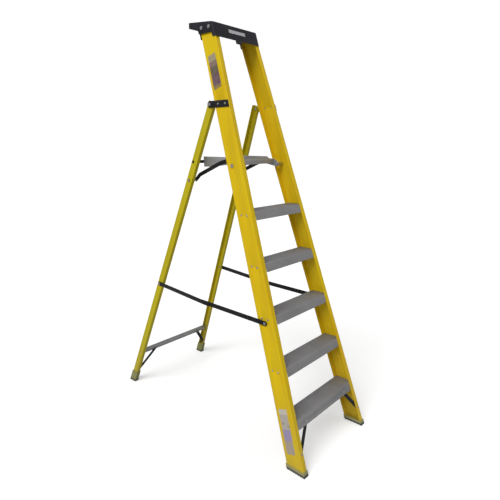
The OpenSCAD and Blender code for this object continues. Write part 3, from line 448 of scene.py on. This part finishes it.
def grained(slot, colour, lighter, rough, grain, depth, gloss=0.3, scuff=0.3, dust=None, sole=None):
    """`dust` is (how high it reaches, colour) and `sole` is (its height, its colour)."""
    tree, shader, place = finish_tree(slot)
    tone = use(tree, drift_tree, Vector=place, Scale=14.0)
    height = use(tree, grain_tree, Vector=place, Scale=grain)
    scuffed = use(tree, scuff_tree, Vector=place, Amount=scuff)
    shade = mix(tree, times(tree, tone, 0.5), colour, lighter)
    if sole:
        shade = mix(tree, above(tree, place, sole[0], SOLE_BLUR), sole[1], shade)
    rubbed = tuple(min(0.6, c * 1.6 + 0.05) for c in lighter)
    shade = mix(tree, times(tree, scuffed, 0.5), shade, rubbed)
    if dust:
        dusty = use(tree, dust_tree, Vector=place, Top=dust[0])
        shade = mix(tree, times(tree, dusty, 0.45), shade, dust[1])
    tree.links.new(shade, shader.inputs["Base Color"])
    tree.links.new(between(tree, tone, rough, rough + 0.12), shader.inputs["Roughness"])
    tree.links.new(bump(tree, height, depth), shader.inputs["Normal"])
    shader.inputs["Specular IOR Level"].default_value = gloss


grained("black_steel", (0.010, 0.010, 0.012), (0.024, 0.024, 0.028), 0.36, 520.0, 0.00012, gloss=0.24)
grained("black_nylon", (0.020, 0.020, 0.022), (0.04, 0.04, 0.045), 0.5, 700.0, 0.00006)
grained("cap_black", (0.012, 0.012, 0.018), (0.030, 0.030, 0.040), 0.46, 420.0, 0.00016, gloss=0.24,
        scuff=0.45)
grained("shoe_rubber", (0.33, 0.31, 0.10), (0.40, 0.37, 0.14), 0.62, 600.0, 0.00012,
        dust=(0.05, (0.34, 0.32, 0.28)), sole=(0.0125, (0.045, 0.043, 0.040)))
grained("boot_rubber", (0.26, 0.26, 0.085), (0.34, 0.33, 0.13), 0.6, 600.0, 0.00012,
        dust=(0.06, (0.30, 0.29, 0.22)), sole=(0.0155, (0.085, 0.095, 0.05)))
print("finishes so far:", sorted(FINISHES))

# %% [markdown]
# ### Blank labels
# Ladders carry two long stickers on one stile and a plate on the cap. Here they stay blank:
# plain blocks of colour with nothing written on them. The blocks are cut out of the label's own
# length with a colour ramp set to constant steps, which is simpler than any picture and stays
# sharp at every distance.

# %% Blank labels
def label(slot, lean, low, high, stops, rough):
    tree, shader, place = finish_tree(slot)
    along = leaned(tree, place, lean)
    height = put(tree, "ShaderNodeSeparateXYZ", {"Vector": along}).outputs["Z"]
    step = put(tree, "ShaderNodeMapRange", {"Value": height, "From Min": low, "From Max": high})
    ramp = put(tree, "ShaderNodeValToRGB", {"Fac": step.outputs["Result"]})
    ramp.color_ramp.interpolation = "CONSTANT"
    while len(ramp.color_ramp.elements) < len(stops):
        ramp.color_ramp.elements.new(0.5)
    for element, (position, colour) in zip(ramp.color_ramp.elements, stops):
        element.position = position
        element.color = (*colour, 1)
    tone = use(tree, drift_tree, Vector=place, Scale=30.0)
    scuffed = use(tree, scuff_tree, Vector=place, Amount=0.4)
    colour = mix(tree, times(tree, tone, 0.15), ramp.outputs["Color"], (0.55, 0.5, 0.35))
    colour = mix(tree, times(tree, scuffed, 0.4), colour, (0.5, 0.45, 0.25))
    tree.links.new(colour, shader.inputs["Base Color"])
    tree.links.new(between(tree, scuffed, rough, rough + 0.25), shader.inputs["Roughness"])
    grain = use(tree, grain_tree, Vector=place, Scale=1500.0)
    tree.links.new(bump(tree, grain, 0.00002), shader.inputs["Normal"])


def ends_along(node, lean):
    """Lowest and highest place of a part, measured along a line that leans back."""
    turn = Euler((radians(lean), 0, 0)).to_matrix()
    heights = [(turn @ v.co).z for v in frame["nodes"][node].data.vertices]
    return min(heights), max(heights)


upper = ends_along("label_upper", FRONT_LEAN)
label("label_upper_film", FRONT_LEAN, *upper, [
    (0.0, (0.30, 0.20, 0.06)), (0.10, (0.16, 0.08, 0.12)), (0.42, (0.14, 0.11, 0.07)),
    (0.66, (0.27, 0.18, 0.14)), (0.80, (0.42, 0.36, 0.22))], 0.35)
lower = ends_along("label_lower", FRONT_LEAN)
label("label_lower_film", FRONT_LEAN, *lower, [
    (0.0, (0.42, 0.35, 0.30)), (0.30, (0.36, 0.30, 0.50)), (0.55, (0.50, 0.45, 0.40)),
    (0.88, (0.62, 0.58, 0.50))], 0.35)
grained("badge_grey", (0.52, 0.52, 0.55), (0.62, 0.62, 0.65), 0.35, 900.0, 0.00002, scuff=0.3)
print("finishes:", sorted(FINISHES))

# %% [markdown]
# ## Dressing the parts
# A part straight from the design file has perfectly sharp edges, and nothing real has. A bevel
# on the edges catches a thin line of light and is what makes a part look solid. The design's
# own mesh is never touched: a copy is welded, its flat areas are merged, its sharp edges are
# bevelled with bmesh, and the copy stands in for the part.

# %% Soft-edged copies
WELD = 0.000005             # metres
FLAT = 0.3                  # degrees: faces closer to level than this are merged
CORNER = 30                 # degrees: edges sharper than this are rounded
CREASE = 28                 # degrees: edges sharper than this are shaded as creases
RIM_SEGMENTS = 5
SLOT_OF = {row["node"]: row["material_slot"] for row in frame["record"]["subparts"]}
BODY_OF = {n: b for b, names in frame["record"]["behaviour"]["bodies"].items() for n in names}


def dress(obj, slot, finish=None):
    obj.data.materials.clear()
    obj.data.materials.append(FINISHES[finish or slot])


def outer_rim(edge, middle):
    """True for an edge between a top face and an outside wall."""
    top, wall = sorted((f.normal for f in edge.link_faces), key=lambda n: -n.z)
    out = (edge.verts[0].co + edge.verts[1].co) / 2 - middle
    return top.z > 0.9 and abs(wall.z) < 0.5 and wall.x * out.x + wall.y * out.y > 0


def round_off(bm, edges, size, segments):
    bmesh.ops.bevel(bm, geom=edges, offset=size, offset_type="OFFSET", segments=segments, profile=0.5,
                    affect="EDGES", clamp_overlap=True, material=-1)


def sharp_edges(bm):
    return [e for e in bm.edges if len(e.link_faces) == 2 and e.calc_face_angle(0) > radians(CORNER)]


def soft_copy(node, edge, segments=2, rim=0.0):
    """A welded copy of a part with its sharp edges rounded by `edge` metres, and its rim by `rim`."""
    bm = bmesh.new()
    bm.from_mesh(frame["nodes"][node].data)
    bmesh.ops.remove_doubles(bm, verts=bm.verts, dist=WELD)
    before = bm.calc_volume()
    bmesh.ops.dissolve_limit(bm, angle_limit=radians(FLAT), verts=bm.verts, edges=bm.edges)
    if rim:
        bm.normal_update()
        middle = sum((v.co for v in bm.verts), Vector()) / len(bm.verts)
        round_off(bm, [e for e in sharp_edges(bm) if outer_rim(e, middle)], rim, RIM_SEGMENTS)
        bm.normal_update()
    round_off(bm, sharp_edges(bm), edge, segments)
    bmesh.ops.triangulate(bm, faces=[f for f in bm.faces if len(f.verts) > 4])
    after = bm.calc_volume()
    mesh = bpy.data.meshes.new(f"{node}_finished")
    bm.to_mesh(mesh)
    bm.free()
    mesh.shade_smooth()
    mesh.set_sharp_from_angle(angle=radians(CREASE))
    piece = bpy.data.objects.new(f"{node}_finished", mesh)
    bpy.context.scene.collection.objects.link(piece)
    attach(piece, BODY_OF[node])
    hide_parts(node)
    dress(piece, SLOT_OF[node])
    print(f"{node}: {len(mesh.polygons)} faces, volume {before * 1e6:.1f} -> {after * 1e6:.1f} cm3")


# %% [markdown]
# Rivets are set with a domed head, so their two steps are rounded almost into each other. The
# cap is the only part that hands rest on, and its rim is rounded much more than the rest of it.

# %% How soft each part is
EDGES = {
    "top_cap": 0.0012, "foot_front_left": 0.0014, "foot_front_right": 0.0014,
    "foot_rear_left": 0.0016, "foot_rear_right": 0.0016,
    "stile_left": 0.0006, "stile_right": 0.0006, "rear_leg_left": 0.0006, "rear_leg_right": 0.0006,
    "cap_screws": 0.0008,
}
RIVET_EDGE = 0.0007
RIVET_SEGMENTS = 3
PLAIN_EDGE = 0.0003
CAP_RIM = 0.0045
FILMS = {"label_upper": "label_upper_film", "label_lower": "label_lower_film", "cap_badge": None}
for node in frame["nodes"]:
    if node in FILMS:
        dress(frame["nodes"][node], SLOT_OF[node], FILMS[node])
    elif "rivets" in node:
        soft_copy(node, RIVET_EDGE, segments=RIVET_SEGMENTS)
    else:
        soft_copy(node, EDGES.get(node, PLAIN_EDGE), rim=CAP_RIM if node == "top_cap" else 0.0)
